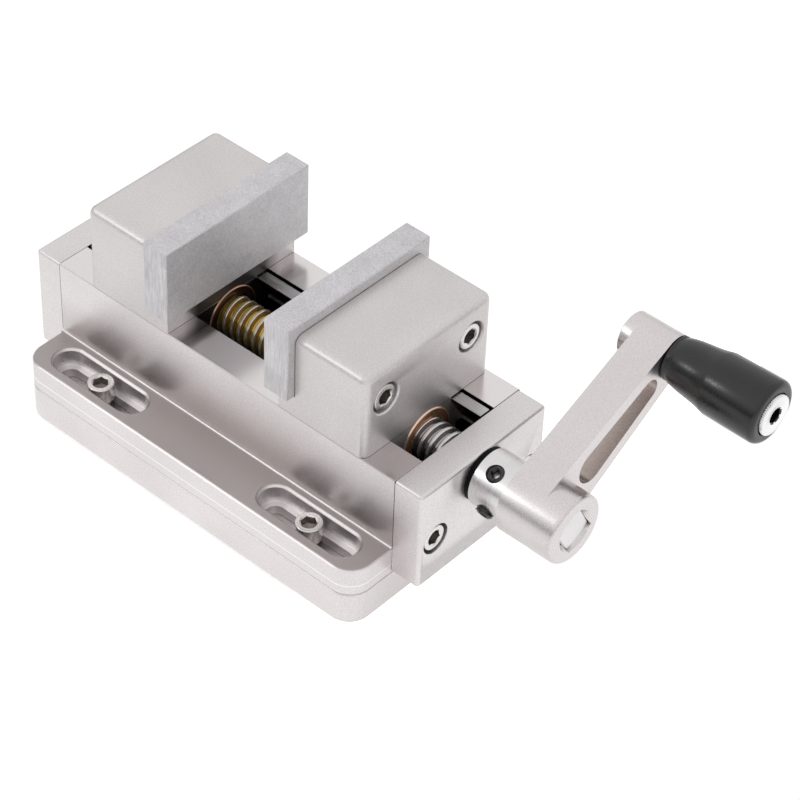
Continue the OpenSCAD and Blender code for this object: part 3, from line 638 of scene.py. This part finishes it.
def arm_edges(centre):
    """Wide rounds on the arm's long edges, crisp edges at square hole, boss bore and hub's back."""
    x, y, z = (v / MM for v in centre)
    from_axis = math.hypot(y, z - AXIS_Z)
    from_handle = math.hypot(y - HANDLE_Y / MM, z - HANDLE_Z / MM)
    if from_axis < 12.0 or from_handle < 6.0:
        return 0.2
    if x > ARM_X + 8.0 or (x < HUB_X + 0.2 and from_axis < 17.0):
        return 0.3
    return 1.1


machined("base_plate", NICKEL, "base", 0.25)
machined("vise_body", BODY_NICKEL, "frame", 0.25)
machined("crank_end_cap", NICKEL, "frame", 0.25)
machined("far_end_cap", NICKEL, "frame", 0.25)
machined("near_jaw", JAW_NICKEL, "near_jaw", 0.3)
machined("far_jaw", JAW_NICKEL, "far_jaw", 0.3)
machined("near_jaw_plate", PLATE_STEEL, "near_jaw", 0.15)
machined("far_jaw_plate", PLATE_STEEL, "far_jaw", 0.15)
machined("gib_strip", GIB_STEEL, "frame", 0.2)
machined("crank_arm", CRANK_METAL, "screw", 1.1, 3, arm_edges)
machined("shaft_collar", BRIGHT, "screw", 0.25)
machined("coupling_pin", SCREW_STEEL, "screw", 0.2)
machined("gib_screws", BLACK_OXIDE, "frame", 0.15)
machined("near_nut_screw", BLACK_OXIDE, "near_jaw", 0.15)
machined("far_nut_screw", BLACK_OXIDE, "far_jaw", 0.15)


# ---------------------------------------------------------------- turned rings

def tube(node, material, body, outer, inner):
    """Sleeve about the screw's axis out of an outer and an inner profile of (x, radius)."""
    bm = bmesh.new()
    lathe(bm, outer + inner[::-1], 96, closed=True)
    place(bm, ON_SCREW_AXIS)
    finish_piece(node + "_finish", bm, material, body, node)


def nut(node, material, body):
    """Nut with a wide rounding on the end nearer the crank and a small one on the other."""
    lo, hi = mm_box(node)
    x0, x1, r, flare = lo[0], hi[0], 13.9, 0.5
    outer = [(x0, r - 0.9)] + arc(x0 + 0.45, r - 0.45, 0.45, 180, 90, 3)
    outer += arc(x1 - 0.7, r - 0.7, 0.7, 90, 0, 4) + [(x1, r - 0.9)]
    tube(node, material, body, outer,
         [(x0, BORE_R + flare), (x0 + flare, BORE_R), (x1 - flare, BORE_R), (x1, BORE_R + flare)])


nut("near_nut", BRONZE, "near_jaw")
# The far nut takes the copy of the bronze with painted shade
nut("far_nut", SHADED_BRONZE, "far_jaw")

lo, hi = mm_box("crank_bushing")
seat = hi[0] - 2.1
tube("crank_bushing", BLACK_BUSH, "frame",
     [(lo[0], 11.1), (seat, 11.1), (seat, 12.1), (seat + 0.2, 12.3), (hi[0] - 0.25, 12.3), (hi[0], 12.05)],
     [(lo[0], BORE_R), (hi[0] - 0.2, BORE_R), (hi[0], BORE_R + 0.2)])

lo, hi = mm_box("far_bushing")
tube("far_bushing", BRONZE, "frame",
     [(lo[0], 10.05), (lo[0] + 0.25, 10.3), (hi[0] - 0.25, 10.3), (hi[0], 10.05)],
     [(lo[0], 8.2), (lo[0] + 0.2, 8.01), (hi[0] - 0.2, 8.01), (hi[0], 8.2)])


# ---------------------------------------------------------------- lead screw

THREAD_DEPTH = 2.3
NEAR_THREAD_END, NEAR_CREST = 96.6, 84.75
FAR_THREAD_END, FAR_CREST = -96.2, -23.8


def square_shaft(a):
    """Radius of the screw's square end, its corners left by the turned bar."""
    t = (a - CRANK_ANGLE + math.pi / 4) % (math.pi / 2) - math.pi / 4
    return min(SCREW_R, 7.4 / math.cos(t))


screw = bmesh.new()
thread_rings(screw, SCREW_WAVE, SCREW_R, PITCH, THREAD_DEPTH, JOINT_X, NEAR_THREAD_END, -1, NEAR_CREST, 72)
core_r, (thrust_x0, thrust_x1), thrust_r, bevel = 7.0, (96.8, 100.8), 10.5, 0.4
end, end_bevel = mm_box("near_lead_screw")[1][0], 0.6
bar = bmesh.new()
lathe(bar, [(thrust_x0 - 0.3, core_r), (thrust_x0, core_r), (thrust_x0, thrust_r - bevel),
            (thrust_x0 + bevel, thrust_r), (thrust_x1 - bevel, thrust_r), (thrust_x1, thrust_r - bevel),
            (thrust_x1, SCREW_R), (HUB_X - 0.01, SCREW_R), (HUB_X, square_shaft),
            (end - end_bevel, square_shaft), (end, lambda a: square_shaft(a) - end_bevel)], 144)
for f in bar.faces:
    f.material_index = 1
join(screw, bar)
place(screw, ON_SCREW_AXIS)
finish_piece("near_screw_thread", screw, SCREW_STEEL, "screw", "near_lead_screw", 28,
             BRIGHT)

screw = bmesh.new()
thread_rings(screw, SCREW_WAVE, SCREW_R, PITCH, THREAD_DEPTH, FAR_THREAD_END, JOINT_X, 1, FAR_CREST, 72)
journal_x, journal_r, spigot_l, spigot_r, bevel = -110.5, 7.95, 14.0, 5.0, 0.6
add_lathe(screw, [(journal_x, journal_r - bevel), (journal_x + bevel, journal_r),
                  (FAR_THREAD_END, journal_r)], 72)
add_lathe(screw, [(JOINT_X, spigot_r), (JOINT_X + spigot_l - bevel, spigot_r),
                  (JOINT_X + spigot_l, spigot_r - bevel)], 48)
place(screw, ON_SCREW_AXIS)
finish_piece("far_screw_thread", screw, GOLD, "screw", "far_lead_screw", 28)


# ---------------------------------------------------------------- cap screws and set screws

def group(node, parts, material, body, second):
    """One piece out of several meshes, each with its matrix."""
    whole = bmesh.new()
    for part, matrix in parts:
        place(part, matrix)
        join(whole, part)
    finish_piece(node + "_finish", whole, material, body, node, second=second)


def cap_screw(length, clock):
    """Socket head cap screw along X, its underside at X = 0 and its head towards +X."""
    bm = bmesh.new()
    edge, bevel = 0.75, 0.8
    profile = [(-length, BOLT_R - bevel), (-length + bevel, BOLT_R), (-0.3, BOLT_R), (0.0, BOLT_R + 0.3),
               (0.0, HEAD_R - 0.15), (0.15, HEAD_R), (HEAD_H - edge, HEAD_R)]
    profile += arc(HEAD_H - edge, HEAD_R - edge, edge, 90, 35, 4)[1:] + [(HEAD_H, HEAD_R - 1.0)]
    lathe(bm, profile + socket_rings(HEAD_H, HEX, HEAD_H * 0.5, 0.35), 72)
    second_inside(bm, HEX, 0.0, HEAD_H - 0.4)
    place(bm, Matrix.Rotation(clock, 4, "X"))
    return bm


def cap_screws(node, body, length, places):
    """A node's cap screws, each with its socket turned another way."""
    clocks = (0.2, 0.9, 0.5, 0.0)
    # The sockets' walls and floors take painted shade
    group(node, [(cap_screw(length, clock), axis_frame(*where)) for where, clock in zip(places, clocks)],
          FASTENER, body, SOCKET_WALL_SHADE)


def pair_along_x(node, side, body):
    """Two cap screws along X, their places and length read from the CAD solids."""
    lo, hi = mm_box(node)
    under = hi[0] - HEAD_H if side > 0 else lo[0] + HEAD_H
    z = (lo[2] + hi[2]) / 2
    cap_screws(node, body, hi[0] - lo[0] - HEAD_H,
               [((under, y, z), (side, 0, 0)) for y in (lo[1] + HEAD_R, hi[1] - HEAD_R)])


def set_screw():
    """Threaded set screw along X, its socket face at X = 0 and its body towards -X."""
    length, flats, pitch = 6.3, 4.0, 1.41
    bm = bmesh.new()
    thread_rings(bm, FINE_WAVE, BOLT_R, pitch, pitch * 0.5, -length + 0.4, -0.45, 1, -1.0, 48, ends=False)
    body = bmesh.new()
    r = BOLT_R - pitch * 0.42
    profile = [(-length, r * 0.6), (-length + 0.5, r), (-0.75, r + 0.3), (-0.5, r + 0.2),
               (-0.3, r - 0.15), (0.0, r - 0.5), (0.0, r - 0.8)]
    lathe(body, profile + socket_rings(-0.05, flats, length * 0.5, 0.2), 48)
    second_inside(body, flats, -length, -0.2)
    join(bm, body)
    return bm


pair_along_x("crank_cap_screws", 1, "frame")
pair_along_x("far_cap_screws", -1, "frame")
pair_along_x("near_jaw_screws", 1, "near_jaw")
pair_along_x("far_jaw_screws", -1, "far_jaw")

lo, hi = mm_box("clamp_screws")
cap_screws("clamp_screws", "base", hi[2] - lo[2] - HEAD_H,
           [((x, y, hi[2] - HEAD_H), (0, 0, 1), (1, 0, 0))
            for x in (lo[0] + HEAD_R, hi[0] - HEAD_R) for y in (lo[1] + HEAD_R, hi[1] - HEAD_R)])

collar_screws = []
for turn, reach in ((120, 12.95), (210, 14.65)):
    c, n = math.cos(math.radians(turn)), math.sin(math.radians(turn))
    socket_face = ((COLLAR_LO[0] + COLLAR_HI[0]) / 2, reach * c, AXIS_Z + reach * n)
    collar_screws.append((set_screw(), axis_frame(socket_face, (0, c, n), (1, 0, 0))))
group("collar_set_screws", collar_screws, BLACK_OXIDE, "screw", DARK_HOLE)


# ---------------------------------------------------------------- handle

SPINDLE_R = 4.75
SPINDLE_BORE_R = 4.85
HEAD_SEAT_R = 9.6
SPINDLE_TOP = mm_box("handle_spindle")[1][0]

(x0, _, _), (x1, _, _) = mm_box("handle_grip")
neck_x, neck_r, taper_l, flare, steps = x0 + 1.6, 10.05, 20.8, 3.85, 14
belly_x, belly_r, end_r, end_round = x0 + 34.0, 14.08, 14.2, 2.8
profile = [(x0, SPINDLE_BORE_R), (x0, 9.3)] + arc(x0 + 0.7, 9.4, 0.7, 180, 30, 5) + [(neck_x, 9.75)]
for i in range(1, steps + 1):
    t = i / steps
    profile.append((neck_x + taper_l * t, neck_r + flare * (t + 0.06 * math.sin(2 * math.pi * t))))
profile += [(belly_x, belly_r)] + arc(x1 - end_round, end_r - end_round, end_round, 88, 0, 8)
seat = SPINDLE_TOP - 4.5
profile += [(x1, HEAD_SEAT_R + 0.15), (x1 - 0.15, HEAD_SEAT_R), (seat, HEAD_SEAT_R),
            (seat, SPINDLE_BORE_R)]
grip = bmesh.new()
lathe(grip, profile, 128, closed=True)
place(grip, ON_HANDLE_AXIS)
finish_piece("handle_grip_finish", grip, GRIP_BLACK, "grip", "handle_grip", 35)


def knurled(radius, depth):
    """Radius of a coin-knurled rim."""
    return lambda a: radius - depth * (0.5 + 0.5 * math.cos(60 * a)) ** 1.5


top, face = SPINDLE_TOP, SPINDLE_TOP - 0.08
profile = [(HUB_X - 5.0, 3.3), (HUB_X - 4.4, BOLT_R), (ARM_X, BOLT_R), (ARM_X, SPINDLE_R),
           (top - 4.4, SPINDLE_R), (top - 4.4, 8.7), (top - 4.1, knurled(9.1, 0.35)),
           (top - 0.4, knurled(9.1, 0.35)), (top, knurled(8.75, 0.25)), (top, 7.8), (face, 7.7),
           (face, HEX / math.sqrt(3) + 0.3)]
spindle = bmesh.new()
lathe(spindle, profile + socket_rings(face, HEX, 3.0, 0.25)[1:], 240)
second_inside(spindle, HEX, top - 4.0, top - 0.2)
place(spindle, ON_HANDLE_AXIS)
finish_piece("handle_spindle_finish", spindle, SPINDLE, "screw", "handle_spindle",
             second=DARK_HOLE)


# ---------------------------------------------------------------- floor, light and camera

FLOOR_END = 0.119
FLOOR_Z = -0.0002
FLOOR_REACH = 3.0


def floor_material():
    """Pale floor, white to the camera, with the level at which metal mirrors it set apart."""
    s = Shader("white_floor")
    s.put(s.bsdf, Base_Color=(0.86, 0.86, 0.86, 1), Roughness=0.6, Specular_IOR_Level=0.1,
          Emission_Color=(1, 1, 1, 1))
    paths = s.node("ShaderNodeLightPath")
    metal = s.calc("ADD", paths, paths, "Is Glossy Ray", "Is Transmission Ray", clamp=True)
    end = s.ramp(s.axes, "X", 0.05, FLOOR_END - 0.003, 0.36, 1.0, smooth=True)
    away = s.calc("SQRT", s.calc("ADD", s.calc("POWER", s.axes, 2.0, "X"),
                                 s.calc("POWER", s.axes, 2.0, "Y")))
    mirrored = s.product(metal, s.ramp(away, 0, 0.07, 0.25, 0.49, 0.25))
    seen = s.calc("MULTIPLY", paths, end, "Is Camera Ray")
    s.link(s.calc("ADD", seen, mirrored), 0, s.bsdf, "Emission Strength")
    return s.material


def floor():
    """Sheet that ends beside the base plate, under the crank, which reaches below it."""
    bm = bmesh.new()
    bm.faces.new([bm.verts.new((x, y, FLOOR_Z)) for x, y in (
        (-FLOOR_REACH, -FLOOR_REACH), (FLOOR_END, -FLOOR_REACH), (FLOOR_END, FLOOR_REACH),
        (-FLOOR_REACH, FLOOR_REACH))])
    mesh = bpy.data.meshes.new("floor")
    bm.to_mesh(mesh)
    bm.free()
    made = bpy.data.objects.new("floor", mesh)
    scene.collection.objects.link(made)
    mesh.materials.append(floor_material())


def world_light(diffuse, sky, soft, dusk):
    """White to the camera and below the horizon.

    What metal mirrors above the horizon is dusky low down and on the left, and pale high up.
    """
    world = bpy.data.worlds.new("studio")
    scene.world = world
    world.use_nodes = True
    w = Nodes(world.node_tree)

    def mix(factor, a, b, factor_socket="Result"):
        """A number between two, each a number or a node's result."""
        m = w.node("ShaderNodeMix")
        w.link(factor, factor_socket, m, "Factor")
        for socket, value in (("A", a), ("B", b)):
            if isinstance(value, float):
                m.inputs[socket].default_value = value
            else:
                w.link(value, "Result", m, socket)
        return m

    paths = w.node("ShaderNodeLightPath")
    split = w.node("ShaderNodeSeparateXYZ")
    w.link(w.node("ShaderNodeTexCoord"), "Generated", split, "Vector")
    side = w.calc("ADD", split, split, "X", "Y")
    rise = w.ramp(split, "Z", 0.02, 0.50, smooth=True)
    w.link(w.ramp(side, 0, -0.9, 0.5, dusk, 0.75, smooth=True), "Result", rise, "To Min")
    w.link(w.ramp(split, "Y", -0.6, 0.1, soft, sky, smooth=True), "Result", rise, "To Max")
    front = w.ramp(split, "X", 0.0, 0.6, 1.0, 1.15, smooth=True)
    below = w.ramp(split, "Z", -0.06, 0.02, 1.0, 0.0, smooth=True)
    metal = mix(paths, diffuse, mix(below, rise, front), "Is Glossy Ray")
    plain = w.calc("ADD", paths, paths, "Is Camera Ray", "Is Transmission Ray", clamp=True)
    back = w.put(w.node("ShaderNodeBackground"), Color=(1, 1, 1, 1))
    w.link(mix(plain, metal, 1.0, 0), "Result", back, "Strength")
    w.link(back, 0, w.node("ShaderNodeOutputWorld"), "Surface")


def area_light(name, location, size, power, mirrored):
    """Square lamp aimed at the vise."""
    data = bpy.data.lights.new(name, "AREA")
    data.shape = "SQUARE"
    data.size = size
    data.energy = power
    lamp = bpy.data.objects.new(name, data)
    lamp.visible_glossy = mirrored
    lamp.location = location
    lamp.rotation_mode = "QUATERNION"
    lamp.rotation_quaternion = (Vector((0, 0, 0.05)) - Vector(location)).to_track_quat("-Z", "Y")
    scene.collection.objects.link(lamp)


floor()
world_light(diffuse=0.85, sky=0.98, soft=1.08, dusk=0.25)
area_light("key", (-0.63, 0.78, 1.16), 0.35, 0.75, False)
area_light("front_left", (-0.73, -1.00, 0.86), 0.25, 1.5, True)

# Directions and place of the camera, worked out from the photo's edges and circles
CAMERA_RIGHT = Vector((0.74056469, 0.67132059, 0.02987657))
CAMERA_UP = Vector((-0.46423911, 0.47896652, 0.7450323))
CAMERA_BACK = Vector((0.48584565, -0.56561448, 0.66635896))
CAMERA_PLACE = Vector((0.63175, -0.66540, 0.85574))

camera_data = bpy.data.cameras.new("camera")
camera_data.sensor_width = 36.0
camera_data.lens = 130.05
camera_data.shift_x = 0.01051
camera_data.shift_y = -0.01991
camera_data.clip_start = 0.05
camera_data.clip_end = 20.0
camera = bpy.data.objects.new("camera", camera_data)
matrix = Matrix((CAMERA_RIGHT, CAMERA_UP, CAMERA_BACK)).transposed().to_4x4()
matrix.translation = CAMERA_PLACE
camera.matrix_world = matrix
scene.collection.objects.link(camera)
scene.camera = camera
scene.view_settings.view_transform = "Standard"
